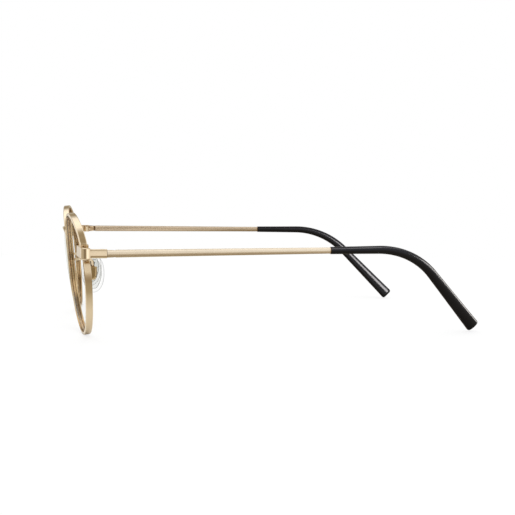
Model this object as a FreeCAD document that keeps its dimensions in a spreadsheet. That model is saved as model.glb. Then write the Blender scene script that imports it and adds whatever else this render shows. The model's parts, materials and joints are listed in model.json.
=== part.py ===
import FreeCAD, Part
import math
import os
import re

import Sketcher

# Metal-framed eyeglasses, millimetres. +Z is up, the lenses look along -Y, the temples run back
# along +Y, and +X is the wearer's left. The glasses stand open on a table at Z = 0, on the bottoms
# of both rims and the lower corners of both temple tips.
#
# Sub-parts are drawn about the hinge datum: Y = 0 is where the endpiece arms meet the temples and
# Z = 0 is the temples' centre line. Every Placement then moves them by -depth_shift along Y and
# +stand_height along Z. The left half is drawn and the right half is its mirror image.

SIZES = (
    # where the hinge datum lies above and ahead of the row's origin
    ("stand_height", 30.28),
    ("depth_shift", 59.14),
    # the rim's outline: four arcs a side, tangent to each other
    ("rim_width", 47.4),
    ("rim_height", 41.6),
    ("top_radius", 31.0),
    ("corner_radius", 16.1),
    ("side_radius", 26.3),
    ("bottom_radius", 22.2),
    # the rim as a band on a sphere, leaning forward and wrapped around the face
    ("rim_depth", 2.2),
    ("rim_wall", 1.0),
    ("rim_round", 0.25),
    ("base_curve", 112.0),
    ("disc_radius", 27.0),
    ("lens_depth", 1.3),
    ("lens_bite", 0.45),
    ("lens_bevel", 0.4),
    ("rim_x", 34.56),
    ("rim_y", -10.45),
    ("rim_z", -9.73),
    ("rim_wrap", 4.9),
    ("rim_tilt", 6.6),
    # the closing block that clamps each rim round its lens
    ("split_gap", 0.12),
    ("block_back", -6.1),
    ("block_front", -8.4),
    ("block_outer", 59.5),
    ("upper_block_inner", 55.6),
    ("lower_block_inner", 56.7),
    ("upper_block_top", 2.1),
    ("lower_block_bottom", -2.6),
    ("closing_screw_x", 58.4),
    ("closing_screw_y", -7.2),
    ("closing_screw_radius", 0.5),
    ("closing_head_radius", 0.7),
    ("closing_head_height", 0.45),
    # the bridge, an arch whose plane leans forward
    ("bridge_end_x", 13.1),
    ("bridge_end_y", -10.75),
    ("bridge_end_z", 0.1),
    ("bridge_rise", 4.0),
    ("bridge_lean", 24.0),
    ("bridge_height", 2.0),
    ("bridge_depth", 1.3),
    ("bridge_slant", 0.35),
    ("bridge_round", 0.4),
    # the endpiece: a plate across the block, a rounded corner and an arm back to the temple
    ("plate_inner_x", 55.9),
    ("plate_slope", 5.1),
    ("bend_outer", 2.75),
    ("bend_centre_y", -6.1),
    ("corner_back_y", -5.9),
    ("corner_height", 3.55),
    ("arm_outer_x", 68.35),
    ("arm_inner_x", 67.05),
    ("arm_height", 2.85),
    ("arm_end_y", -0.8),
    ("corner_round", 0.3),
    ("arm_round", 0.25),
    ("arm_crown", 0.9),
    # the hinge: the temple's knuckle between two of the endpiece's, on one screw
    ("hinge_x", 64.0),
    ("hinge_y", -2.1),
    ("barrel_radius", 1.0),
    ("barrel_bottom", -1.15),
    ("barrel_top", 0.95),
    ("knuckle_low", -0.45),
    ("knuckle_high", 0.3),
    ("knuckle_gap", 0.04),
    ("leaf_inner_x", 66.2),
    ("leaf_front_y", -4.9),
    ("leaf_back_y", -1.45),
    ("leaf_height", 2.1),
    ("neck_width", 0.9),
    ("neck_angle", 45.0),
    ("neck_length", 3.9),
    ("hinge_screw_radius", 0.5),
    ("hinge_clearance", 0.05),
    ("hinge_head_radius", 0.8),
    ("hinge_head_height", 0.22),
    ("slot_width", 0.25),
    ("slot_depth", 0.18),
    ("head_edge_share", 0.6),
    ("head_top_share", 0.75),
    # the temple: a tapered oval shaft, then a round core inside the tip sleeve
    ("temple_x", 67.62),
    ("temple_toe_in", 6.2),
    ("butt_gap", 0.04),
    ("shaft_length", 73.5),
    ("shaft_front_height", 2.47),
    ("shaft_back_height", 2.06),
    ("shaft_front_width", 1.3),
    ("shaft_back_width", 1.2),
    ("shaft_edge_radius", 0.42),
    ("notch_depth", 0.7),
    ("notch_back_y", 1.85),
    ("notch_open", 1.0),
    ("inlay_inner_x", 66.5),
    ("inlay_back_y", 1.05),
    ("core_radius", 0.55),
    ("core_short", 5.0),
    ("bend_start", 90.9),
    ("bend_radius", 29.6),
    ("bend_angle", 46.3),
    ("bend_lean", 13.3),
    ("tip_run", 28.0),
    ("sleeve_front_height", 2.45),
    ("sleeve_front_width", 1.9),
    ("sleeve_bend_height", 3.5),
    ("sleeve_bend_width", 2.3),
    ("sleeve_end_height", 4.8),
    ("sleeve_end_width", 2.7),
    ("sleeve_edge", 0.4),
    ("sleeve_end_round", 0.9),
    # the nose pads, drawn about each pad's own centre: x back, y up, z outward
    ("pad_x", 9.2),
    ("pad_y", -2.2),
    ("pad_z", -12.3),
    ("pad_splay", 15.0),
    ("pad_slope", 15.0),
    ("pad_width", 7.7),
    ("pad_length", 13.6),
    ("pad_face_depth", 1.4),
    ("pad_back_depth", 0.85),
    ("pad_end_radius", 2.9),
    ("pad_round", 0.8),
    ("core_plate_width", 5.5),
    ("core_plate_length", 10.9),
    ("core_end_radius", 1.9),
    ("core_plate_front", -0.35),
    ("pad_axis_y", 0.15),
    ("pad_axis_z", 2.2),
    ("lug_radius", 0.65),
    ("lug_width", 1.5),
    ("box_width", 2.8),
    ("box_wall", 0.55),
    ("box_low", 1.4),
    ("box_high", 3.2),
    ("box_top", 2.35),
    ("box_bottom", -2.5),
    ("box_round", 0.35),
    ("cavity_top", 1.5),
    ("cavity_bottom", -1.25),
    ("cavity_roof", 2.95),
    ("pad_screw_radius", 0.3),
    ("pad_clearance", 0.04),
    ("pad_head_radius", 0.6),
    ("pad_head_height", 0.3),
    # the pad arm: a wire from the rim's back, over and down to the box
    ("wire_radius", 0.45),
    ("wire_bend", 1.3),
    ("wire_root_x", 11.55),
    ("wire_root_y", -9.45),
    ("wire_root_z", -6.6),
    ("wire_out_x", 11.7),
    ("wire_out_y", -7.6),
    ("wire_out_z", -6.5),
    ("wire_crest_x", 12.7),
    ("wire_crest_y", -4.6),
    ("wire_crest_z", -6.2),
    ("wire_back_x", 12.3),
    ("wire_back_y", -3.0),
    ("wire_back_z", -6.9),
    ("wire_end_y", 2.3),
    ("wire_end_z", 2.3),
)

XY = "XY_Plane"
XZ = "XZ_Plane"
YZ = "YZ_Plane"
START = 1
END = 2
CENTRE = 3
ORIGIN = (-1, 1)

doc = FreeCAD.newDocument("eyeglasses")
sheet = doc.addObject("Spreadsheet::Sheet", "sizes")
for row, (alias, size) in enumerate(SIZES, start=1):
    sheet.set(f"A{row}", alias.replace("_", " "))
    sheet.set(f"B{row}", str(size))
    sheet.setAlias(f"B{row}", alias)
doc.recompute()

solids = {}


def formula(text):
    """Point each name in a formula at its cell: every alias is words joined by underscores."""
    return re.sub(r"[a-z]+(?:_[a-z]+)+", lambda name: "sizes." + name.group(), str(text))


def value(text):
    """The number that a formula of sheet names comes to."""
    return float(sheet.evalExpression(formula(text)))


def bind(item, prop, text):
    """Keep a property equal to a formula of sheet names."""
    item.setExpression(prop, formula(text))


def spot(x=0, y=0, z=0, yaw=0, pitch=0, roll=0):
    """A placement formula: a point, turned by yaw, pitch and roll."""
    return (f"create(<<placement>>; create(<<vector>>; {x}; {y}; {z}); "
            f"create(<<rotation>>; {yaw}; {pitch}; {roll}))")


DATUM = spot(y="-depth_shift", z="stand_height")
# a rim's own frame: x towards the temple, y up and z forward, out of the lens
RIM = spot("rim_x", "rim_y", "rim_z", yaw="rim_wrap", roll="90 + rim_tilt")
# a temple's: x back along the shaft and y up, in the plane of its bend
TEMPLE = spot("temple_x", yaw="90 + temple_toe_in", roll="90 + bend_lean")
# a nose pad's: x back, y up and z outward, away from the nose
PAD = spot("pad_x", "pad_y", "pad_z", yaw="90 - pad_splay", roll="90 - pad_slope")


def place(item, *spots):
    """Put a sub-part at a chain of placements that starts from the hinge datum."""
    bind(item, "Placement", " * ".join((DATUM,) + spots))


def new_body(label):
    body = doc.addObject("PartDesign::Body", label)
    body.Label = label
    return body


def new_sketch(body, name, role, offset=0):
    """A sketch on one of the body's own origin planes, moved along the plane's normal."""
    sketch = body.newObject("Sketcher::SketchObject", name)
    support = next(plane for plane in body.Origin.OriginFeatures if plane.Role == role)
    sketch.AttachmentSupport = [(support, "")]
    sketch.MapMode = "FlatFace"
    bind(sketch, "AttachmentOffset.Base.z", offset)
    return sketch


def hold(sketch, kind, geometry, point, text):
    """Bind one coordinate of a sketch point, measured from the sketch's origin."""
    index = sketch.addConstraint(
        Sketcher.Constraint(kind, *ORIGIN, geometry, point, value(text)))
    sketch.setExpression(f"Constraints[{index}]", formula(text))


def hold_radius(sketch, geometry, text):
    index = sketch.addConstraint(Sketcher.Constraint("Radius", geometry, value(text)))
    sketch.setExpression(f"Constraints[{index}]", formula(text))


def arc_of(centre, radius, start, end):
    """The counterclockwise arc about a centre from one point's bearing to another's."""
    circle = Part.Circle(centre, FreeCAD.Vector(0, 0, 1), radius)
    first = math.atan2(start.y - centre.y, start.x - centre.x)
    last = math.atan2(end.y - centre.y, end.x - centre.x)
    if last <= first:
        last += 2 * math.pi
    return Part.ArcOfCircle(circle, first, last)


def draw_loop(sketch, corners):
    """A closed outline. A corner is (x, y), or (x, y, radius, side) where an arc follows it.

    The arc's centre is on the left of the way round when side is 1 and on the right when -1.
    """
    first = sketch.GeometryCount
    count = len(corners)
    half_rounds = set()
    points = [FreeCAD.Vector(value(corner[0]), value(corner[1]), 0) for corner in corners]
    ends = []
    for index, corner in enumerate(corners):
        start, end = points[index], points[(index + 1) % count]
        if len(corner) == 2:
            sketch.addGeometry(Part.LineSegment(start, end), False)
            ends.append((START, END))
            continue
        radius, side = value(corner[2]), corner[3]
        chord = end - start
        apart = math.sqrt(max(radius ** 2 - chord.Length ** 2 / 4, 0))
        if apart < 1e-4:
            half_rounds.add(index)
        normal = FreeCAD.Vector(-chord.y, chord.x, 0).normalize() * side
        centre = (start + end) * 0.5 + normal * apart
        if side > 0:
            sketch.addGeometry(arc_of(centre, radius, start, end), False)
            ends.append((START, END))
        else:
            sketch.addGeometry(arc_of(centre, radius, end, start), False)
            ends.append((END, START))
    for index, corner in enumerate(corners):
        edge, after = first + index, first + (index + 1) % count
        tail, head = ends[index][1], ends[(index + 1) % count][0]
        sketch.addConstraint(Sketcher.Constraint("Coincident", edge, tail, after, head))
        hold(sketch, "DistanceX", edge, ends[index][0], corner[0])
        hold(sketch, "DistanceY", edge, ends[index][0], corner[1])
        if index in half_rounds:
            # its ends leave a half round's centre free across the chord, and its radius with it
            chord = points[(index + 1) % count] - points[index]
            axis = 1 if abs(chord.x) > abs(chord.y) else 0
            hold(sketch, ("DistanceX", "DistanceY")[axis], edge, CENTRE, corner[axis])
        elif len(corner) > 2:
            hold_radius(sketch, edge, corner[2])


def draw_box(sketch, low_x, low_y, high_x, high_y):
    draw_loop(sketch, ((low_x, low_y), (high_x, low_y), (high_x, high_y), (low_x, high_y)))


def draw_circle(sketch, x, y, radius):
    centre = FreeCAD.Vector(value(x), value(y), 0)
    circle = Part.Circle(centre, FreeCAD.Vector(0, 0, 1), value(radius))
    index = sketch.addGeometry(circle, False)
    hold(sketch, "DistanceX", index, CENTRE, x)
    hold(sketch, "DistanceY", index, CENTRE, y)
    hold_radius(sketch, index, radius)


def draw_arc_ring(sketch, arcs):
    """A convex outline of arcs that meet tangent, each (centre x, centre y, radius) as formulas.

    A coordinate that tangency settles is given as a number, and isn't held.
    """
    count = len(arcs)
    first = sketch.GeometryCount
    centres = [FreeCAD.Vector(value(x), value(y), 0) for x, y, _ in arcs]
    radii = [value(radius) for _, _, radius in arcs]
    joints = []
    for index in range(count):
        after = (index + 1) % count
        wide, small = (index, after) if radii[index] > radii[after] else (after, index)
        way = (centres[small] - centres[wide]).normalize()
        joints.append(centres[wide] + way * radii[wide])
    for index in range(count):
        arc = arc_of(centres[index], radii[index], joints[index - 1], joints[index])
        sketch.addGeometry(arc, False)
    for index, (x, y, radius) in enumerate(arcs):
        this, after = first + index, first + (index + 1) % count
        sketch.addConstraint(Sketcher.Constraint("Tangent", this, END, after, START))
        hold_radius(sketch, this, radius)
        if isinstance(x, str):
            hold(sketch, "DistanceX", this, CENTRE, x)
        if isinstance(y, str):
            hold(sketch, "DistanceY", this, CENTRE, y)


def draw_rim_outline(sketch, inset):
    """The rim's outer outline drawn in by a distance: top, corners, sides and bottom arcs."""
    top = value("rim_height / 2 - top_radius")
    bottom = value("bottom_radius - rim_height / 2")
    corner_x = value("rim_width / 2 - corner_radius")
    corner_y = top + math.sqrt(value("top_radius - corner_radius") ** 2 - corner_x ** 2)
    # the side arc's centre, from its distances to the corner's and the bottom's centres
    to_corner = value("side_radius - corner_radius")
    to_bottom = value("side_radius - bottom_radius")
    apart = math.hypot(corner_x, corner_y - bottom)
    along = (to_corner ** 2 - to_bottom ** 2 + apart ** 2) / (2 * apart)
    aside = math.sqrt(to_corner ** 2 - along ** 2)
    way_x, way_y = -corner_x / apart, (bottom - corner_y) / apart
    side_x = corner_x + along * way_x + aside * way_y
    side_y = corner_y + along * way_y - aside * way_x
    half = "rim_width / 2 - corner_radius"
    draw_arc_ring(sketch, (
        ("0", "rim_height / 2 - top_radius", f"top_radius - {inset}"),
        (f"-({half})", corner_y, f"corner_radius - {inset}"),
        (-side_x, side_y, f"side_radius - {inset}"),
        ("0", "bottom_radius - rim_height / 2", f"bottom_radius - {inset}"),
        (side_x, side_y, f"side_radius - {inset}"),
        (half, corner_y, f"corner_radius - {inset}"),
    ))


def draw_oval(sketch, height, width, edge, upright=False):
    """A four-arc oval: height along the sketch's x, or its y if upright, with round ends."""
    end = f"({height} / 2 - {edge})"
    side = f"(({width} ^ 2 / 4 + {end} ^ 2 - {edge} ^ 2) / ({width} - 2 * {edge}))"
    aside = value(f"{side} - {width} / 2")
    if upright:
        draw_arc_ring(sketch, (
            (-aside, 0, side),
            ("0", end, edge),
            (aside, 0, side),
            ("0", f"-{end}", edge),
        ))
    else:
        draw_arc_ring(sketch, (
            (end, "0", edge),
            (0, -aside, side),
            (f"-{end}", "0", edge),
            (0, aside, side),
        ))


def pad(body, sketch, length, reverse=False):
    """Grow a sketch one way, or both ways equally when reverse is None."""
    feature = body.newObject("PartDesign::Pad", sketch.Name + "_pad")
    feature.Profile = sketch
    feature.SideType = "Symmetric" if reverse is None else "One side"
    feature.Reversed = bool(reverse)
    bind(feature, "Length", length)
    sketch.Visibility = False
    return feature


def pocket(body, sketch, length, reverse=None):
    """Cut a sketch one way, or both ways equally when reverse is None; it has to take metal off."""
    doc.recompute()
    before = body.Shape.Volume
    feature = body.newObject("PartDesign::Pocket", sketch.Name + "_pocket")
    feature.Profile = sketch
    feature.SideType = "Symmetric" if reverse is None else "One side"
    feature.Reversed = bool(reverse)
    bind(feature, "Length", length)
    doc.recompute()
    if feature.Shape.Volume >= before:
        raise RuntimeError(f"{feature.Name} cuts nothing")
    return feature


def revolve(body, sketch):
    """Turn a sketch once about its own vertical axis."""
    feature = body.newObject("PartDesign::Revolution", sketch.Name + "_revolution")
    feature.Profile = sketch
    feature.ReferenceAxis = (sketch, ["V_Axis"])
    feature.Angle = 360
    return feature


def dress(body, kind, radius, wanted):
    """Fillet or chamfer the edges of the body's tip that a test picks."""
    doc.recompute()
    base = body.Tip
    names = [f"Edge{n}" for n, edge in enumerate(base.Shape.Edges, start=1) if wanted(edge)]
    feature = body.newObject(f"PartDesign::{kind}", f"{body.Name}_{kind.lower()}")
    feature.Base = (base, names)
    bind(feature, "Radius" if kind == "Fillet" else "Size", radius)
    return feature


def boolean(kind, label, base, tool):
    item = doc.addObject(f"Part::{kind}", label)
    item.Base = base
    item.Tool = tool
    item.Label = label
    return item


def seat(label, blank, *neighbours):
    """Cut a blank by the pieces it is brazed to, so that they meet face to face."""
    for count, neighbour in enumerate(neighbours, start=1):
        name = label if count == len(neighbours) else f"{label}_cut_{count}"
        blank = boolean("Cut", name, blank, neighbour)
    solids[label] = blank


def level(z):
    """An edge test: the whole edge lies at this height of its body."""
    height = value(z)

    def test(edge):
        box = edge.BoundBox
        return max(abs(box.ZMin - height), abs(box.ZMax - height)) < 1e-3

    return test


def shell_disc(body, depth):
    """A round piece of a spherical shell whose middle surface passes through the origin."""
    sketch = new_sketch(body, body.Name + "_section", XZ)
    outer, inner = f"(base_curve + {depth} / 2)", f"(base_curve - {depth} / 2)"
    draw_loop(sketch, (
        ("0", f"-{depth} / 2"),
        ("0", f"{depth} / 2", outer, -1),
        ("disc_radius", f"sqrt({outer} ^ 2 - disc_radius ^ 2) - base_curve"),
        ("disc_radius", f"sqrt({inner} ^ 2 - disc_radius ^ 2) - base_curve", inner, 1),
    ))
    revolve(body, sketch)


def trim_outside(body, inset):
    """Take away everything outside the rim's outline drawn in by a distance."""
    sketch = new_sketch(body, body.Name + "_outside", XY)
    draw_circle(sketch, "0", "0", "disc_radius * 2")
    draw_rim_outline(sketch, inset)
    pocket(body, sketch, "disc_radius")


def curved(edge):
    return not edge.Degenerated and edge.Curve.TypeId != "Part::GeomLine"


def make_lens():
    body = new_body("lens_left")
    shell_disc(body, "lens_depth")
    trim_outside(body, "(rim_wall - lens_bite)")
    dress(body, "Chamfer", "lens_bevel", curved)
    place(body, RIM)
    solids["lens_left"] = body
    return body


def make_rim(lens):
    """The eyewire: a band round the lens, grooved for its bevel and split at the temporal side."""
    body = new_body("rim_left_band")
    shell_disc(body, "rim_depth")
    trim_outside(body, "0")
    hole = new_sketch(body, "rim_inside", XY)
    draw_rim_outline(hole, "rim_wall")
    pocket(body, hole, "disc_radius")
    dress(body, "Fillet", "rim_round", curved)
    split = new_sketch(body, "rim_split", XY)
    middle = "(-rim_z / cos(rim_tilt))"
    draw_box(split, "rim_width / 4", f"{middle} - split_gap / 2",
             "disc_radius", f"{middle} + split_gap / 2")
    pocket(body, split, "disc_radius")
    place(body, RIM)
    seat("rim_left", body, lens)
    return solids["rim_left"]


def make_bridge(*neighbours):
    """A flat arch from rim to rim, drawn in its own leaning plane about its end points' line."""
    body = new_body("bridge_bar")
    sketch = new_sketch(body, "bridge_arch", XZ)
    radius = "((bridge_end_x ^ 2 + bridge_rise ^ 2) / (2 * bridge_rise))"
    outer, inner = f"({radius} + bridge_height / 2)", f"({radius} - bridge_height / 2)"
    drop = f"({radius} - bridge_rise)"
    wide, narrow = "(bridge_end_x + bridge_slant)", "(bridge_end_x - bridge_slant)"
    draw_loop(sketch, (
        (f"-{wide}", f"sqrt({outer} ^ 2 - {wide} ^ 2) - {drop}", outer, -1),
        (wide, f"sqrt({outer} ^ 2 - {wide} ^ 2) - {drop}"),
        (narrow, f"sqrt({inner} ^ 2 - {narrow} ^ 2) - {drop}", inner, 1),
        (f"-{narrow}", f"sqrt({inner} ^ 2 - {narrow} ^ 2) - {drop}"),
    ))
    pad(body, sketch, "bridge_depth", reverse=None)
    dress(body, "Fillet", "bridge_round", curved)
    place(body, spot(y="bridge_end_y", z="bridge_end_z", roll="bridge_lean"))
    seat("bridge", body, *neighbours)


def make_block(label, inner, low, high, *neighbours):
    """One half of the closing block, with the screw's hole, seated on the rim's outer wall."""
    body = new_body(label + "_blank")
    sketch = new_sketch(body, label + "_plan", XY, low)
    draw_box(sketch, inner, "block_front", "block_outer", "block_back")
    draw_circle(sketch, "closing_screw_x", "closing_screw_y", "closing_screw_radius")
    pad(body, sketch, f"{high} - ({low})")
    place(body)
    seat(label, body, *neighbours)


def make_screw(label, radius, length, head_radius, head_height, *spots):
    """A slotted screw that stands on its shank's end at the body's origin, head up."""
    body = new_body(label)
    section = new_sketch(body, label + "_section", XZ)
    draw_loop(section, (
        ("0", "0"),
        (radius, "0"),
        (radius, length),
        (head_radius, length),
        (head_radius, f"{length} + {head_height} * head_edge_share"),
        (f"{head_radius} * head_top_share", f"{length} + {head_height}"),
        ("0", f"{length} + {head_height}"),
    ))
    revolve(body, section)
    slot = new_sketch(body, label + "_slot", XY, f"{length} + {head_height}")
    draw_box(slot, f"-{head_radius} * 2", "-slot_width / 2",
             f"{head_radius} * 2", "slot_width / 2")
    pocket(body, slot, "slot_depth", reverse=False)
    place(body, *spots)
    solids[label] = body


def make_endpiece():
    """A bar bent round the temple's corner, taller across the front and round the bend."""
    body = new_body("endpiece_left")
    depth = "(arm_outer_x - arm_inner_x)"
    centre_x = "(arm_outer_x - bend_outer)"
    outer, inner = "bend_outer", f"(bend_outer - {depth})"

    def front(radius):
        """Where the bend meets the plate, and the plate's far end, at one face of the bar."""
        x = f"({centre_x} + {radius} * sin(plate_slope))"
        y = f"bend_centre_y - {radius} * cos(plate_slope)"
        return (x, y), ("plate_inner_x", f"{y} - ({x} - plate_inner_x) * tan(plate_slope)")

    (outer_x, outer_y), outer_end = front(outer)
    inner_bend, inner_end = front(inner)
    ahead = (outer_end, (outer_x, outer_y, outer, 1), ("arm_outer_x", "bend_centre_y"))
    behind = (("arm_inner_x", "bend_centre_y", inner, -1), inner_bend, inner_end)
    arm = new_sketch(body, "endpiece_plan", XY)
    draw_loop(arm, ahead + (("arm_outer_x", "arm_end_y"), ("arm_inner_x", "arm_end_y")) + behind)
    pad(body, arm, "arm_height", reverse=None)
    edges = [level(f"{side} * arm_height / 2") for side in (1, -1)]
    axis = FreeCAD.Vector(value(centre_x), value("bend_centre_y"), 0)
    post = Part.makeLine(axis - FreeCAD.Vector(0, 0, value("arm_height")),
                         axis + FreeCAD.Vector(0, 0, value("arm_height")))

    def follows(edge, radius):
        """Whether a top or bottom edge runs along the face at this radius of the bend."""
        away = edge.distToShape(post)[0]
        return any(at(edge) for at in edges) and abs(away - value(radius)) < 1e-3

    dress(body, "Fillet", "arm_crown", lambda edge: follows(edge, outer))
    dress(body, "Fillet", "arm_round", lambda edge: follows(edge, inner))
    corner = new_sketch(body, "endpiece_corner", XY)
    draw_loop(corner, ahead + (("arm_outer_x", "corner_back_y"), ("arm_inner_x", "corner_back_y"))
              + behind)
    pad(body, corner, "corner_height", reverse=None)
    faces = [level(f"{side} * corner_height / 2") for side in (1, -1)]
    dress(body, "Fillet", "corner_round", lambda edge: any(at(edge) for at in faces))
    place(body)
    solids["endpiece_left"] = body
    return body


def draw_knuckle(sketch, reach):
    """A knuckle in plan: round on the hinge's axis and square where it reaches the leaf."""
    draw_loop(sketch, (
        (reach, "hinge_y + barrel_radius"),
        ("hinge_x", "hinge_y + barrel_radius", "barrel_radius", 1),
        ("hinge_x", "hinge_y - barrel_radius"),
        (reach, "hinge_y - barrel_radius"),
    ))


def make_front_leaf():
    """The hinge half on the endpiece: a plate with the top and bottom knuckles."""
    body = new_body("hinge_front_leaf_left")
    plate = new_sketch(body, "front_leaf_plate", XY)
    draw_box(plate, "leaf_inner_x", "leaf_front_y", "arm_inner_x", "leaf_back_y")
    pad(body, plate, "leaf_height", reverse=None)
    for name, low, high in (("low", "barrel_bottom", "knuckle_low"),
                            ("high", "knuckle_high", "barrel_top")):
        knuckle = new_sketch(body, f"front_knuckle_{name}", XY, low)
        draw_knuckle(knuckle, "arm_inner_x")
        pad(body, knuckle, f"{high} - ({low})")
    bore = new_sketch(body, "front_leaf_bore", XY)
    draw_circle(bore, "hinge_x", "hinge_y", "hinge_screw_radius")
    pocket(body, bore, "leaf_height * 4")
    place(body)
    solids["hinge_front_leaf_left"] = body


def make_temple_leaf():
    """The hinge half on the temple: the middle knuckle, a neck and the plate let into the shaft."""
    body = new_body("hinge_temple_leaf_left")
    low, high = "(knuckle_low + knuckle_gap)", "(knuckle_high - knuckle_gap)"
    barrel = new_sketch(body, "temple_knuckle", XY, low)
    draw_circle(barrel, "hinge_x", "hinge_y", "barrel_radius")
    pad(body, barrel, f"{high} - {low}")
    neck = new_sketch(body, "temple_neck", XY, low)
    along_x, along_y = "cos(neck_angle)", "sin(neck_angle)"
    corners = []
    for reach, side in ((0, 1), (0, -1), (1, -1), (1, 1)):
        x = f"hinge_x + {reach} * neck_length * {along_x} - {side} * neck_width / 2 * {along_y}"
        y = f"hinge_y + {reach} * neck_length * {along_y} + {side} * neck_width / 2 * {along_x}"
        corners.append((x, y))
    draw_loop(neck, corners)
    pad(body, neck, f"{high} - {low}")
    inlay = new_sketch(body, "temple_inlay", XY)
    draw_box(inlay, "inlay_inner_x", "arm_end_y + butt_gap",
             "arm_inner_x + notch_depth", "inlay_back_y")
    pad(body, inlay, "leaf_height", reverse=None)
    bore = new_sketch(body, "temple_leaf_bore", XY)
    draw_circle(bore, "hinge_x", "hinge_y", "hinge_screw_radius + hinge_clearance")
    pocket(body, bore, "leaf_height * 4")
    place(body)
    solids["hinge_temple_leaf_left"] = body
    return body


def section_at(body, name, x, y, turn, lean):
    """A sketch across the temple's path, its x up: at (x, y), turned down by turn, leaning."""
    sketch = new_sketch(body, name, YZ, x)
    down = FreeCAD.Rotation(FreeCAD.Vector(0, 1, 0), -value(turn))
    sideways = FreeCAD.Rotation(FreeCAD.Vector(0, 0, 1), -value(lean))
    sketch.AttachmentOffset = FreeCAD.Placement(FreeCAD.Vector(), down.multiply(sideways))
    bind(sketch, "AttachmentOffset.Base.x", y)
    bind(sketch, "AttachmentOffset.Base.z", x)
    return sketch


def draw_tip_path(sketch, start, run):
    """The path inside the sleeve: straight, down round the bend, then straight for a run."""
    turn_x, turn_y = "sin(bend_angle)", "cos(bend_angle)"
    end_x = f"(bend_start + bend_radius * {turn_x})"
    end_y = f"(bend_radius * ({turn_y} - 1))"
    points = (
        (start, "0"),
        ("bend_start", "0"),
        (end_x, end_y),
        (f"{end_x} + {run} * {turn_y}", f"{end_y} - {run} * {turn_x}"),
    )
    places = [FreeCAD.Vector(value(x), value(y), 0) for x, y in points]
    centre = FreeCAD.Vector(places[1].x, -value("bend_radius"), 0)
    sketch.addGeometry(Part.LineSegment(places[0], places[1]), False)
    sketch.addGeometry(arc_of(centre, value("bend_radius"), places[2], places[1]), False)
    sketch.addGeometry(Part.LineSegment(places[2], places[3]), False)
    sketch.addConstraint(Sketcher.Constraint("Coincident", 0, END, 1, END))
    sketch.addConstraint(Sketcher.Constraint("Coincident", 1, START, 2, START))
    for geometry, point, (x, y) in ((0, START, points[0]), (0, END, points[1]),
                                    (2, START, points[2]), (2, END, points[3])):
        hold(sketch, "DistanceX", geometry, point, x)
        hold(sketch, "DistanceY", geometry, point, y)
    hold_radius(sketch, 1, "bend_radius")


def sweep(body, kind, name, profile, path, sections=()):
    feature = body.newObject(f"PartDesign::{kind}", name)
    feature.Profile = profile
    feature.Spine = (path, [f"Edge{n + 1}" for n in range(3)])
    if sections:
        feature.Transformation = "Multisection"
        feature.Sections = [(section, [""]) for section in sections]
    return feature


def make_temple(leaf):
    """The metal temple: a tapered oval shaft and the round core that stiffens the tip."""
    body = new_body("temple_left_blank")
    front = section_at(body, "shaft_front", "arm_end_y + butt_gap", "0", "0", "bend_lean")
    draw_oval(front, "shaft_front_height", "shaft_front_width", "shaft_edge_radius")
    back = section_at(body, "shaft_back", "shaft_length", "0", "0", "bend_lean")
    draw_oval(back, "shaft_back_height", "shaft_back_width", "shaft_edge_radius")
    shaft = body.newObject("PartDesign::AdditiveLoft", "shaft")
    shaft.Profile = front
    shaft.Sections = [(back, [""])]
    shaft.Ruled = True
    path = new_sketch(body, "core_path", XY)
    draw_tip_path(path, "shaft_length", "(tip_run - core_short)")
    wire = section_at(body, "core_section", "shaft_length", "0", "0", "0")
    draw_circle(wire, "0", "0", "core_radius")
    sweep(body, "AdditivePipe", "core", wire, path)
    place(body, TEMPLE)
    notch = doc.addObject("Part::Box", "temple_notch")
    bind(notch, "Length", "notch_depth + notch_open")
    bind(notch, "Width", "notch_back_y - arm_end_y + notch_open")
    bind(notch, "Height", "arm_height * 2")
    place(notch, spot("arm_inner_x - notch_open", "arm_end_y - notch_open", "-arm_height"))
    seat("temple_left", body, notch, leaf)


def make_sleeve():
    """The plastic tip: an oval tube that swells round the bend to a blunt, rounded end."""
    body = new_body("temple_tip_left")
    turn_x, turn_y = "sin(bend_angle)", "cos(bend_angle)"
    bend_x = f"(bend_start + bend_radius * {turn_x})"
    bend_y = f"(bend_radius * ({turn_y} - 1))"
    stations = (
        ("front", "shaft_length", "0", "0", "bend_lean"),
        ("bend", bend_x, bend_y, "bend_angle", "0"),
        ("end", f"({bend_x} + tip_run * {turn_y})", f"({bend_y} - tip_run * {turn_x})",
         "bend_angle", "0"),
    )
    path = new_sketch(body, "sleeve_path", XY)
    draw_tip_path(path, "shaft_length", "tip_run")
    sections = []
    for name, x, y, turn, lean in stations:
        section = section_at(body, f"sleeve_{name}", x, y, turn, lean)
        draw_oval(section, f"sleeve_{name}_height", f"sleeve_{name}_width",
                  f"(sleeve_{name}_width * sleeve_edge)")
        sections.append(section)
    sweep(body, "AdditivePipe", "sleeve", sections[0], path, sections[1:])
    bore_path = new_sketch(body, "bore_path", XY)
    draw_tip_path(bore_path, "shaft_length", "(tip_run - core_short)")
    bore = section_at(body, "bore_section", "shaft_length", "0", "0", "0")
    draw_circle(bore, "0", "0", "core_radius")
    sweep(body, "SubtractivePipe", "bore", bore, bore_path)
    end = FreeCAD.Vector(value(stations[-1][1]), value(stations[-1][2]), 0)
    turn = math.radians(value("bend_angle"))
    way = FreeCAD.Vector(math.cos(turn), -math.sin(turn), 0)
    dress(body, "Fillet", "sleeve_end_round",
          lambda edge: all(abs((corner.Point - end).dot(way)) < 1e-3 for corner in edge.Vertexes))
    place(body, TEMPLE)
    solids["temple_tip_left"] = body


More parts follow.
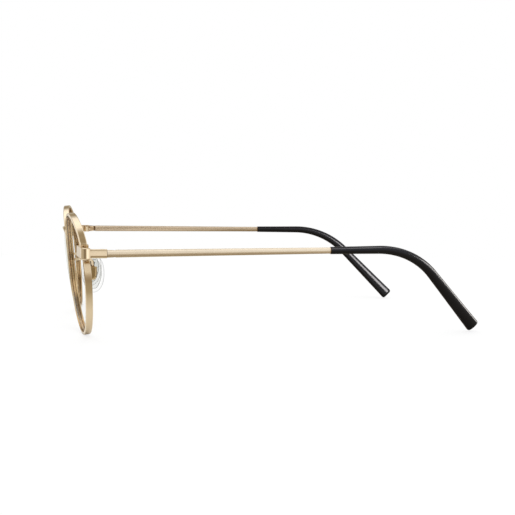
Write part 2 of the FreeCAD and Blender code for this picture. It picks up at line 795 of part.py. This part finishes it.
def make_pad_core():
    """The hard plate inside the pad, with the lug that turns on the pad's screw."""
    body = new_body("pad_core_left")
    plate = new_sketch(body, "core_plate", XY, "core_plate_front")
    draw_oval(plate, "core_plate_length", "core_plate_width", "core_end_radius", upright=True)
    pad(body, plate, "pad_back_depth - core_plate_front")
    lug = new_sketch(body, "core_lug", YZ)
    draw_loop(lug, (
        ("pad_axis_y - lug_radius", "0"),
        ("pad_axis_y + lug_radius", "0"),
        ("pad_axis_y + lug_radius", "pad_axis_z", "lug_radius", 1),
        ("pad_axis_y - lug_radius", "pad_axis_z"),
    ))
    pad(body, lug, "lug_width", reverse=None)
    bore = new_sketch(body, "lug_bore", YZ)
    draw_circle(bore, "pad_axis_y", "pad_axis_z", "pad_screw_radius + pad_clearance")
    pocket(body, bore, "lug_width * 2")
    place(body, PAD)
    solids["pad_core_left"] = body
    return body


def make_pad_skin(core):
    """The soft pad moulded round the core."""
    body = new_body("pad_skin_left_blank")
    sketch = new_sketch(body, "skin_plan", XY, "-pad_face_depth")
    draw_oval(sketch, "pad_length", "pad_width", "pad_end_radius", upright=True)
    pad(body, sketch, "pad_face_depth + pad_back_depth")
    ends = [level("-pad_face_depth"), level("pad_back_depth")]
    dress(body, "Fillet", "pad_round", lambda edge: any(end(edge) for end in ends))
    place(body, PAD)
    seat("pad_skin_left", body, core)


def make_pad_box():
    """The metal box on the pad arm that the lug sits in, open towards the pad."""
    body = new_body("pad_box_left")
    half = "(box_width / 2)"
    outline = new_sketch(body, "box_outline", XY, "box_low")
    draw_loop(outline, (
        (half, f"box_bottom + {half}"),
        (half, "box_top"),
        (f"-{half}", "box_top"),
        (f"-{half}", f"box_bottom + {half}", half, 1),
    ))
    pad(body, outline, "box_high - box_low")
    dress(body, "Fillet", "box_round", level("box_high"))
    cavity = new_sketch(body, "box_cavity", XY, "cavity_roof")
    draw_box(cavity, f"box_wall - {half}", "cavity_bottom", f"{half} - box_wall", "cavity_top")
    pocket(body, cavity, "box_high", reverse=False)
    bore = new_sketch(body, "box_bore", YZ)
    draw_circle(bore, "pad_axis_y", "pad_axis_z", "pad_screw_radius")
    pocket(body, bore, "box_width * 2")
    place(body, PAD)
    solids["pad_box_left"] = body
    return body


def rounded_wire(points, radius):
    """Straight runs through the points, each corner rounded by a tangent arc."""
    edges = []
    last = points[0]
    for before, corner, after in zip(points, points[1:], points[2:]):
        come, go = (before - corner).normalize(), (after - corner).normalize()
        half_angle = come.getAngle(go) / 2
        back = radius / math.tan(half_angle)
        middle_way = (come + go).normalize()
        near = radius / math.sin(half_angle) - radius
        start, end = corner + come * back, corner + go * back
        edges.append(Part.makeLine(last, start))
        edges.append(Part.Arc(start, corner + middle_way * near, end).toShape())
        last = end
    edges.append(Part.makeLine(last, points[-1]))
    return Part.Wire(edges)


def make_pad_arm(box, *neighbours):
    """The wire that carries the pad box, from the back of the rim's nasal side."""
    datum = FreeCAD.Placement()
    datum.Base = FreeCAD.Vector(0, -value("depth_shift"), value("stand_height"))
    points = [FreeCAD.Vector(*(value(f"wire_{stop}_{axis}") for axis in "xyz"))
              for stop in ("root", "out", "crest", "back")]
    end = FreeCAD.Vector(0, value("wire_end_y"), value("wire_end_z"))
    points.append(datum.inverse().multVec(box.Placement.multVec(end)))
    path = rounded_wire(points, value("wire_bend"))
    start = points[0]
    circle = Part.Wire(Part.makeCircle(value("wire_radius"), start, points[1] - start))
    wire = doc.addObject("Part::Feature", "pad_arm_left_wire")
    wire.Shape = path.makePipeShell([circle], True, False)
    wire.Placement = datum
    seat("pad_arm_left", wire, box, *neighbours)


def mirror(source, label):
    twin = doc.addObject("Part::Mirroring", label)
    twin.Source = source
    twin.Normal = FreeCAD.Vector(1, 0, 0)
    twin.Label = label
    return twin


lens_left = make_lens()
rim_left = make_rim(lens_left)
endpiece = make_endpiece()
make_block("closing_block_upper_left", "upper_block_inner", "split_gap / 2", "upper_block_top",
           rim_left, lens_left, endpiece)
make_block("closing_block_lower_left", "lower_block_inner", "lower_block_bottom",
           "-split_gap / 2", rim_left, lens_left, endpiece)
make_screw("closing_screw_left", "closing_screw_radius", "(upper_block_top - lower_block_bottom)",
           "closing_head_radius", "closing_head_height",
           spot("closing_screw_x", "closing_screw_y", "upper_block_top", roll=180))
make_front_leaf()
temple_leaf = make_temple_leaf()
make_screw("hinge_screw_left", "hinge_screw_radius", "(barrel_top - barrel_bottom)",
           "hinge_head_radius", "hinge_head_height", spot("hinge_x", "hinge_y", "barrel_bottom"))
make_temple(temple_leaf)
make_sleeve()
pad_core = make_pad_core()
make_pad_skin(pad_core)
pad_box = make_pad_box()
make_screw("pad_screw_left", "pad_screw_radius", "box_width", "pad_head_radius",
           "pad_head_height", PAD, spot("-box_width / 2", "pad_axis_y", "pad_axis_z", pitch=90))
doc.recompute()
make_pad_arm(pad_box, rim_left, lens_left)
for name, item in list(solids.items()):
    right = name.replace("left", "right")
    solids[right] = mirror(item, right)
make_bridge(*(solids[name] for name in ("rim_left", "rim_right", "lens_left", "lens_right")))
doc.recompute()

for item in doc.Objects:
    if {"Invalid", "Error"} & set(item.State):
        raise RuntimeError(f"{item.Name} failed: {item.State}")
for name, item in solids.items():
    if item.Shape.isNull() or not item.Shape.isValid() or len(item.Shape.Solids) != 1:
        raise RuntimeError(f"{name} isn't one valid solid")

os.makedirs("parts", exist_ok=True)
whole = Part.makeCompound([item.Shape for item in solids.values()]).optimalBoundingBox(False)
for name, item in sorted(solids.items()):
    item.Shape.exportStep(f"parts/{name}.step")
    print(f"{name}: {item.Shape.Volume:.2f} mm3")
print(f"{len(solids)} sub-parts, box {whole}")
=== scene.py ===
"""Pale gold full-rim eyeglasses with black tips, standing open on a plain pale floor."""

import json
import math

import bmesh
import bpy
import numpy as np
from mathutils import Matrix, Vector


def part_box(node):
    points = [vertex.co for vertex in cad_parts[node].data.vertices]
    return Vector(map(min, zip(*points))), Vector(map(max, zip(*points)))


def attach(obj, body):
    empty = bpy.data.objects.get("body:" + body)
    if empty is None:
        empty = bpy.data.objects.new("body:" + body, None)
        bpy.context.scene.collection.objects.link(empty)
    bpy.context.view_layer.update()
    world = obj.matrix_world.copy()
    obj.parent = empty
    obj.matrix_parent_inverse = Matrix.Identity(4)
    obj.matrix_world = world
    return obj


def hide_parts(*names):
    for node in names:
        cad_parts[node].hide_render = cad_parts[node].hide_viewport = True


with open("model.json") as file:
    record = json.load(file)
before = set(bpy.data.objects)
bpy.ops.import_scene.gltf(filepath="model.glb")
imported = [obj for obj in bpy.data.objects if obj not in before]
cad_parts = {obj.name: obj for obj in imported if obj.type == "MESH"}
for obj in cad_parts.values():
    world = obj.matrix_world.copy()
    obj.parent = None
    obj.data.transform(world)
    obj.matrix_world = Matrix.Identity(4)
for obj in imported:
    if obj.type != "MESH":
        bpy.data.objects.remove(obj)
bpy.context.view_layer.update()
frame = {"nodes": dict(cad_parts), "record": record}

NODES = frame["nodes"]
MILLIMETRE = 0.001

# metal and plastic colours, as linear light
PALE_GOLD = (0.88, 0.765, 0.60)
RICH_GOLD = (0.88, 0.73, 0.52)
# a darker copy of the gold plating: painted shade on the pad boxes
SHADED_GOLD = (0.62, 0.46, 0.24)
PLATED_STEEL = (0.80, 0.68, 0.50)
BLACK = (0.0016, 0.0016, 0.0019)
# what is left of the light on the rims' inner walls and on the temples' inner sides
INNER_WALL = (0.74, 0.64, 0.50)
INNER_SIDE = (0.74, 0.69, 0.65)
# the grain, relief and stretch of a polished surface
POLISHED = (0.25 * MILLIMETRE, 0.06, (1, 1, 1))
# painted shade in a metal's crevices, from the tightest to the open surface
CREVICE_SHADE = ((0.3, (0.14, 0.09, 0.05)), (0.62, (0.50, 0.37, 0.24)), (0.92, 1.0))

# how far a nose pad turns back, and leans over, in degrees
PAD_SPLAY = 15
PAD_SLOPE = 15
# a pad's outline: corners in it, how full it is (1 is an ellipse), how much wider it gets below
PAD_STEPS = 72
PAD_FULLNESS = 0.92
PAD_TAPER = 0.05
# share of the outline, and height from the nose face at -1 to the back at 1
PAD_PROFILE = ((0.0, -1.0), (0.22, -0.985), (0.42, -0.94), (0.60, -0.85), (0.75, -0.71),
               (0.87, -0.50), (0.955, -0.22), (0.995, 0.08), (1.0, 0.30), (0.985, 0.55),
               (0.95, 0.78), (0.90, 0.93), (0.84, 1.0), (0.79, 0.97), (0.76, 0.90))

# the floor: its radius in metres, and how the eye sees it, as paint and as a glow
FLOOR_RADIUS = 0.3
FLOOR_PAINT = (0.21, 0.21, 0.21)
FLOOR_GLOW = 0.76
# the studio's darker, warmer parts, and the colour of the tips' own lights
WARM_MIDDLE = (0.80, 0.76, 0.69)
WARM_DIM = (0.52, 0.47, 0.38)
WARM_DARK = (0.34, 0.285, 0.20)
WARM_DEEP = (0.18, 0.14, 0.09)
WARM_STRIP = (1.0, 0.95, 0.84)
# the tips' lights draw a streak along their upper edges: place, aim, size, power and node
TIP_LIGHTS = {
    "left_tip_strip": ((0.15, 0.45, 0.075), (0.066, 0.06, 0.02), (0.30, 0.08), 1.35,
                       "temple_tip_left"),
    "left_crown_strip": ((0.26, 0.20, 0.27), (0.066, 0.03, 0.03), (0.30, 0.10), 0.5,
                         "temple_tip_left"),
    "right_tip_strip": ((0.25, 0.20, 0.20), (-0.062, 0.05, 0.02), (0.15, 0.15), 1.7,
                        "temple_tip_right"),
}

# the camera: place in metres, degrees round from -X, up from level and rolled, and millimetres
CAMERA_PLACE = (0.381094, -0.078019, 0.056495)
CAMERA_ANGLES = (11.81, -4.94, 0.65)
CAMERA_LENS = 70.55
CAMERA_SENSOR = 36


# ---------------------------------------------------------------- shader helpers

def new_material(name):
    material = bpy.data.materials.new(name)
    material.use_nodes = True
    tree = material.node_tree
    return material, tree, tree.nodes["Principled BSDF"]


def add(tree, kind, inputs=None, **settings):
    """A node of that kind, with its settings, socket values and links."""
    node = tree.nodes.new("ShaderNode" + kind)
    for key, setting in settings.items():
        setattr(node, key, setting)
    for key, given in (inputs or {}).items():
        if isinstance(given, bpy.types.NodeSocket):
            tree.links.new(given, node.inputs[key])
        else:
            node.inputs[key].default_value = given
    return node


def ramp(tree, factor, stops):
    """A colour ramp from (position, grey or colour) stops."""
    node = add(tree, "ValToRGB", {"Fac": factor})
    elements = node.color_ramp.elements
    while len(elements) > 1:
        elements.remove(elements[-1])
    for index, (position, tone) in enumerate(stops):
        element = elements[0] if index == 0 else elements.new(position)
        element.position = position
        color = (tone, tone, tone) if isinstance(tone, (int, float)) else tone
        element.color = (*color, 1)
    return node.outputs["Color"]


def noise(tree, size, detail=2.0, stretch=(1, 1, 1)):
    """Noise whose features are about size metres across, drawn out where stretch is under 1."""
    place = add(tree, "TexCoord").outputs["Object"]
    drawn = add(tree, "Mapping", {"Vector": place, "Scale": stretch}).outputs["Vector"]
    texture = add(tree, "TexNoise", {"Vector": drawn, "Scale": 1 / size, "Detail": detail})
    return texture.outputs["Fac"]


def spread(tree, factor, low, high):
    """Noise spreads about a half: its middle third is stretched over low to high."""
    inputs = {"Value": factor, "From Min": 0.3, "From Max": 0.7, "To Min": low, "To Max": high}
    return add(tree, "MapRange", inputs).outputs["Result"]


def share_of(tree, number, low, high):
    """How far a number has come from low to high, 0 to 1."""
    inputs = {"Value": number, "From Min": low, "From Max": high}
    return add(tree, "MapRange", inputs).outputs["Result"]


def blend(tree, factor, first, second, kind="MIX"):
    """Two colours or sockets mixed, or multiplied, by a factor."""
    node = add(tree, "Mix", {"Factor": factor}, data_type="RGBA", blend_type=kind)
    for socket, tone in ((node.inputs[6], first), (node.inputs[7], second)):
        if isinstance(tone, bpy.types.NodeSocket):
            tree.links.new(tone, socket)
        else:
            socket.default_value = (*tone, 1)
    return node.outputs[2]


def scaled(color, factor):
    """A colour made lighter or darker, up to full white."""
    return tuple(min(1.0, channel * factor) for channel in color)


# ---------------------------------------------------------------- materials

def plated_metal(name, color, roughness, grain, bump, stretch, middle=(0, 0, 0),
                 across=(0, 0, 0), inner=(1, 1, 1), only_own_shade=False):
    """Plating: drifting colour, painted shade in its crevices, and a fine grain in gloss and
    surface.

    Faces that look inward get painted shade from inner: inward is towards the middle, along the
    axes that across picks. A rim holds a clear lens, so only its own crevices get painted shade.
    """
    material, tree, shader = new_material(name)
    shader.inputs["Metallic"].default_value = 1.0
    cloud = noise(tree, 14 * MILLIMETRE)
    tint = ramp(tree, cloud, ((0.3, scaled(color, 0.95)), (0.7, scaled(color, 1.03))))
    # painted shade: occlusion darkens the colour in crevices and in the gaps between parts
    crevice_shade = add(tree, "AmbientOcclusion", {"Distance": 1.2 * MILLIMETRE}, samples=8,
                  only_local=only_own_shade)
    tone = blend(tree, 1.0, tint, ramp(tree, crevice_shade.outputs["AO"], CREVICE_SHADE), "MULTIPLY")
    coordinates = add(tree, "TexCoord").outputs
    spoke = add(tree, "VectorMath", {0: coordinates["Object"], 1: middle}, operation="SUBTRACT")
    spoke = add(tree, "VectorMath", {0: spoke.outputs["Vector"], 1: across}, operation="MULTIPLY")
    outward = add(tree, "VectorMath", {0: spoke.outputs["Vector"], 1: coordinates["Normal"]},
                  operation="DOT_PRODUCT").outputs["Value"]
    # painted shade: faces that look inward, the rims' inner walls and the temples' inner sides, are
    # darkened by inner
    inward = share_of(tree, outward, -2 * MILLIMETRE, -14 * MILLIMETRE)
    tone = blend(tree, inward, tone, blend(tree, 1.0, tone, inner, "MULTIPLY"))
    tree.links.new(tone, shader.inputs["Base Color"])
    lines = noise(tree, grain, 4.0, stretch)
    rough = spread(tree, lines, roughness * 0.75, roughness * 1.25)
    tree.links.new(rough, shader.inputs["Roughness"])
    relief = add(tree, "Bump", {"Height": lines, "Strength": bump, "Distance": 0.01 * MILLIMETRE})
    tree.links.new(relief.outputs["Normal"], shader.inputs["Normal"])
    return material


def black_acetate(name):
    """Polished black plastic with faint waves and fine handling marks in its gloss."""
    material, tree, shader = new_material(name)
    cloud = noise(tree, 6 * MILLIMETRE)
    tone = ramp(tree, cloud, ((0.35, scaled(BLACK, 0.8)), (0.65, scaled(BLACK, 1.5))))
    tree.links.new(tone, shader.inputs["Base Color"])
    marks = noise(tree, 0.5 * MILLIMETRE, 6.0, (1, 0.25, 1))
    tree.links.new(spread(tree, marks, 0.17, 0.25), shader.inputs["Roughness"])
    waves = noise(tree, 2.5 * MILLIMETRE, 3.0, (1, 0.4, 1))
    relief = add(tree, "Bump", {"Height": waves, "Strength": 0.12, "Distance": 0.03 * MILLIMETRE})
    tree.links.new(relief.outputs["Normal"], shader.inputs["Normal"])
    shader.inputs["IOR"].default_value = 1.38
    shader.inputs["Specular Tint"].default_value = (0.86, 0.87, 1.0, 1)
    return material


def see_through(name, middle, edge, edge_start, gloss, gloss_tint, haze):
    """Clear material: tinted towards its edges, with a gloss on the side that faces out."""
    material, tree, shader = new_material(name)
    tree.nodes.remove(shader)
    facing = add(tree, "LayerWeight", {"Blend": 0.5}).outputs["Facing"]
    tone = ramp(tree, facing, ((0.0, middle), (edge_start, middle), (0.9, edge)))
    mist = ramp(tree, noise(tree, haze), ((0.35, 0.985), (0.65, 1.0)))
    through = add(tree, "BsdfTransparent", {"Color": blend(tree, 1.0, tone, mist, "MULTIPLY")})
    marks = spread(tree, noise(tree, haze / 4, 4.0), 0.02, 0.09)
    shine = add(tree, "BsdfGlossy", {"Color": (*gloss_tint, 1), "Roughness": marks})
    glance = add(tree, "LayerWeight", {"Blend": gloss}).outputs["Fresnel"]
    behind = add(tree, "NewGeometry").outputs["Backfacing"]
    share = add(tree, "Math", {0: glance, 1: behind}, operation="SUBTRACT", use_clamp=True)
    mix = add(tree, "MixShader", {"Fac": share.outputs["Value"], 1: through.outputs["BSDF"],
                                  2: shine.outputs["BSDF"]})
    tree.links.new(mix.outputs["Shader"], tree.nodes["Material Output"].inputs["Surface"])
    return material


def make_materials():
    """One material for each slot of the record."""
    return {
        "gold_polished": plated_metal("gold_polished", RICH_GOLD, 0.13, *POLISHED),
        "gold_satin": plated_metal("gold_satin", PALE_GOLD, 0.27, 0.12 * MILLIMETRE, 0.04,
                                   (1, 0.03, 1), across=(1, 0, 0), inner=INNER_SIDE),
        "screw_metal": plated_metal("screw_metal", PLATED_STEEL, 0.22, 0.1 * MILLIMETRE,
                                    0.1, (1, 1, 0.2)),
        "tip_black": black_acetate("tip_black"),
        "lens_clear": see_through("lens_clear", (0.995, 0.997, 0.996), (0.98, 0.986, 0.983),
                                  0.55, 0.015, (0.92, 1.0, 0.96), 8 * MILLIMETRE),
        "pad_core_clear": see_through("pad_core_clear", (0.93, 0.935, 0.925), (0.37, 0.37, 0.36),
                                      0.35, 0.10, (1, 1, 1), 2 * MILLIMETRE),
        "pad_silicone": see_through("pad_silicone", (0.988, 0.988, 0.985), (0.66, 0.66, 0.665),
                                    0.20, 0.06, (1, 1, 1), 1.5 * MILLIMETRE),
    }


def finish_nodes(materials):
    """Give every CAD node its slot's material, or one of its own to a rim or a pad box."""
    for part in frame["record"]["subparts"]:
        node = NODES[part["node"]]
        material = materials[part["material_slot"]]
        if node.name.startswith("rim_"):
            low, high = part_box(node.name)
            material = plated_metal(f"{node.name}_gold", RICH_GOLD, 0.12, *POLISHED,
                                    middle=(low + high) / 2, across=(1, 1, 1),
                                    inner=INNER_WALL, only_own_shade=True)
        elif node.name.startswith("pad_box_"):
            # painted shade: the pad boxes get a darker copy of the gold plating
            material = plated_metal(f"{node.name}_gold", SHADED_GOLD, 0.16, *POLISHED)
        node.data.materials.clear()
        node.data.materials.append(material)


# ---------------------------------------------------------------- nose pads

def turned(node, axes):
    """The middle of a node and its half sizes, measured along three axes at right angles."""
    points = np.array([vertex.co for vertex in node.data.vertices])
    along = points @ np.array(axes).T
    low, high = along.min(0), along.max(0)
    middle = ((low + high) / 2) @ np.array(axes)
    return Vector(middle), (high - low) / 2


def make_pad(side, materials):
    """A soft pad: an egg-round cushion, crowned towards the nose, dished round its hard core."""
    skin = NODES[f"pad_skin_{side}"]
    # across runs back, up runs up, and out points away from the nose
    side_sign = 1 if side == "left" else -1
    splay, slope = math.radians(PAD_SPLAY), math.radians(PAD_SLOPE)
    across = Vector((side_sign * math.sin(splay), math.cos(splay), 0))
    up = Vector((-side_sign * math.cos(splay) * math.sin(slope), math.sin(splay) * math.sin(slope),
                 math.cos(slope)))
    out = across.cross(up) * side_sign
    middle, (half_width, half_length, half_depth) = turned(skin, (across, up, out))
    mesh = bmesh.new()
    rings = []
    for share, height in PAD_PROFILE[1:]:
        ring = []
        for step in range(PAD_STEPS):
            turn = 2 * math.pi * step / PAD_STEPS
            x = math.copysign(abs(math.cos(turn)) ** PAD_FULLNESS, math.cos(turn))
            y = math.copysign(abs(math.sin(turn)) ** PAD_FULLNESS, math.sin(turn))
            wide = half_width * share * x * (1 - PAD_TAPER * y)
            ring.append(mesh.verts.new(middle + across * wide + up * (half_length * share * y)
                                       + out * (half_depth * height)))
        rings.append(ring)
    tip = mesh.verts.new(middle + out * (half_depth * PAD_PROFILE[0][1]))
    base = mesh.verts.new(middle + out * (half_depth * PAD_PROFILE[-1][1]))
    for step in range(PAD_STEPS):
        after = (step + 1) % PAD_STEPS
        mesh.faces.new((tip, rings[0][after], rings[0][step]))
        mesh.faces.new((base, rings[-1][step], rings[-1][after]))
        for inner, outer in zip(rings, rings[1:]):
            mesh.faces.new((inner[step], inner[after], outer[after], outer[step]))
    bmesh.ops.recalc_face_normals(mesh, faces=mesh.faces)
    data = bpy.data.meshes.new(f"soft_pad_{side}")
    mesh.to_mesh(data)
    mesh.free()
    data.shade_smooth()
    pad = bpy.data.objects.new(f"soft_pad_{side}", data)
    bpy.context.scene.collection.objects.link(pad)
    pad.data.materials.append(materials["pad_silicone"])
    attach(pad, f"nose_pad_{side}")
    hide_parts(skin.name)


# ---------------------------------------------------------------- studio

def make_floor():
    """A plain pale floor. Mirrored in the metal, it shows a painted pool of light by the lenses and
    painted shade, dark and warm, beyond.
    """
    bpy.ops.mesh.primitive_circle_add(vertices=96, radius=FLOOR_RADIUS, fill_type="NGON",
                                      location=(0, 0, 0))
    floor = bpy.context.object
    floor.name = "floor"
    material, tree, shader = new_material("pale_floor")
    shader.inputs["Roughness"].default_value = 0.9
    shader.inputs["Specular IOR Level"].default_value = 0.0
    # how far a point lies from the middle of the front, 0 to 1 over a quarter of a metre
    place = add(tree, "TexCoord").outputs["Object"]
    moved = add(tree, "Mapping", {"Vector": place, "Location": (0, 0.07, 0)}).outputs["Vector"]
    away = add(tree, "VectorMath", {0: moved}, operation="LENGTH").outputs["Value"]
    # painted light, seen only in reflections: a bright pool by the lenses, a dark warm band round
    # it, lighter again at the edge
    painted_light_pool = ramp(tree, share_of(tree, away, 0.0, 0.25),
                ((0.0, (0.78, 0.77, 0.76)), (0.22, (0.68, 0.66, 0.61)),
                 (0.30, (0.33, 0.29, 0.21)), (0.42, (0.27, 0.22, 0.155)),
                 (0.60, (0.38, 0.33, 0.26)), (1.0, (0.58, 0.54, 0.48))))
    seen = add(tree, "LightPath").outputs["Is Camera Ray"]
    grain = ramp(tree, noise(tree, 3 * MILLIMETRE, 3.0), ((0.3, 0.985), (0.7, 1.0)))
    tone = blend(tree, 1.0, blend(tree, seen, painted_light_pool, FLOOR_PAINT), grain, "MULTIPLY")
    tree.links.new(tone, shader.inputs["Base Color"])
    # most of what the eye sees is glow, so shadows are faint
    shader.inputs["Emission Color"].default_value = (1, 1, 1, 1)
    glow = share_of(tree, seen, 0.0, 1.0 / FLOOR_GLOW)
    tree.links.new(glow, shader.inputs["Emission Strength"])
    floor.data.materials.append(material)


def make_world():
    """A white backdrop for the eye. The metal sees a studio with soft panels and dark gaps."""
    world = bpy.data.worlds.new("studio")
    bpy.context.scene.world = world
    world.use_nodes = True
    tree = world.node_tree
    tree.nodes.clear()
    way = add(tree, "TexCoord").outputs["Generated"]
    axes = add(tree, "SeparateXYZ", {"Vector": way}).outputs
    # height is 0 at the horizon and 1 straight up; beside is 0 on the far side and 1 by the viewer
    rise = add(tree, "Math", {0: axes["Z"]}, operation="ARCSINE").outputs["Value"]
    height = share_of(tree, rise, 0.0, math.pi / 2)
    beside = share_of(tree, axes["X"], -0.25, 0.25)
    # round the horizon: 0.5 is +X, where the viewer stands, and 0.25 is -Y, ahead of the lenses
    turn = add(tree, "Math", {0: axes["Y"], 1: axes["X"]}, operation="ARCTAN2").outputs["Value"]
    turn = share_of(tree, turn, -math.pi, math.pi)
    low = ramp(tree, turn, ((0.0, WARM_DIM), (0.08, 1.05), (0.16, WARM_DIM), (0.25, WARM_DIM),
                            (0.32, WARM_DEEP), (0.37, WARM_DARK), (0.41, 1.35), (0.46, 1.25),
                            (0.49, WARM_MIDDLE), (0.50, WARM_MIDDLE), (0.508, 1.0),
                            (0.516, WARM_MIDDLE), (0.53, WARM_MIDDLE), (0.56, 0.92), (0.61, 0.9),
                            (0.67, WARM_DIM), (0.73, 1.1), (0.80, WARM_DIM), (1.0, WARM_DIM)))
    middle = ramp(tree, turn, ((0.0, WARM_DARK), (0.08, WARM_DARK), (0.16, 0.85), (0.25, 0.85),
                               (0.33, WARM_DARK), (0.46, WARM_DARK), (0.50, WARM_DIM),
                               (0.56, 0.92), (0.62, 0.92), (0.75, 0.8), (0.92, WARM_DIM),
                               (1.0, WARM_DARK)))
    near_roof = ramp(tree, height, ((0.35, 0.85), (0.48, 1.25), (0.60, 1.1), (0.73, WARM_DARK),
                                    (1.0, WARM_DARK)))
    far_roof = ramp(tree, height, ((0.35, 0.85), (0.45, 1.15), (0.60, 1.35), (0.70, 1.25),
                                   (0.80, 0.8), (0.88, WARM_DIM), (1.0, WARM_DARK)))
    roof = blend(tree, beside, far_roof, near_roof)
    walls = blend(tree, ramp(tree, height, ((0.10, 0.0), (0.20, 1.0))), low, middle)
    light = blend(tree, ramp(tree, height, ((0.30, 0.0), (0.42, 1.0))), walls, roof)
    mirrored = add(tree, "Background", {"Color": light, "Strength": 1.0})
    plain = add(tree, "Background", {"Color": (1, 1, 1, 1), "Strength": 1.0})
    path = add(tree, "LightPath").outputs
    shiny = add(tree, "MixShader", {"Fac": path["Is Glossy Ray"], 1: plain.outputs["Background"],
                                    2: mirrored.outputs["Background"]})
    out = add(tree, "OutputWorld")
    tree.links.new(shiny.outputs["Shader"], out.inputs["Surface"])


def make_light(name, place, aim, size, power, only_for=None):
    """An area light that looks at a point. With only_for, it is warm and lights that node alone."""
    light = bpy.data.lights.new(name, "AREA")
    light.shape = "RECTANGLE"
    light.size, light.size_y = size
    light.energy = power
    lamp = bpy.data.objects.new(name, light)
    bpy.context.scene.collection.objects.link(lamp)
    lamp.location = place
    lamp.rotation_euler = (Vector(aim) - Vector(place)).to_track_quat("-Z", "Y").to_euler()
    if only_for:
        light.color = WARM_STRIP
        lit = bpy.data.collections.new(name + "_lights")
        lit.objects.link(NODES[only_for])
        lamp.light_linking.receiver_collection = lit
    return lamp


def make_camera():
    """A viewpoint beside the wearer's left temple, a little ahead of the hinge."""
    camera = bpy.data.objects.new("camera", bpy.data.cameras.new("camera"))
    bpy.context.scene.collection.objects.link(camera)
    around, pitch, roll = (math.radians(angle) for angle in CAMERA_ANGLES)
    ahead = Vector((-math.cos(around) * math.cos(pitch), math.sin(around) * math.cos(pitch),
                    math.sin(pitch)))
    right = Vector((math.sin(around), math.cos(around), 0))
    up = right.cross(ahead)
    turned_right = right * math.cos(roll) + up * math.sin(roll)
    turned_up = up * math.cos(roll) - right * math.sin(roll)
    turn = Matrix((turned_right, turned_up, -ahead)).transposed().to_4x4()
    camera.matrix_world = Matrix.Translation(Vector(CAMERA_PLACE)) @ turn
    camera.data.lens = CAMERA_LENS
    camera.data.sensor_width = CAMERA_SENSOR
    camera.data.clip_start = 0.01
    bpy.context.scene.camera = camera


materials = make_materials()
finish_nodes(materials)
for side in ("left", "right"):
    make_pad(side, materials)
make_floor()
make_world()
make_camera()
make_light("table_lamp", (0.1, 0.0, 1.2), (0, 0, 0), (1.6, 1.6), 6.0).visible_glossy = False
for name, settings in TIP_LIGHTS.items():
    make_light(name, *settings)
bpy.context.scene.view_settings.view_transform = "Standard"
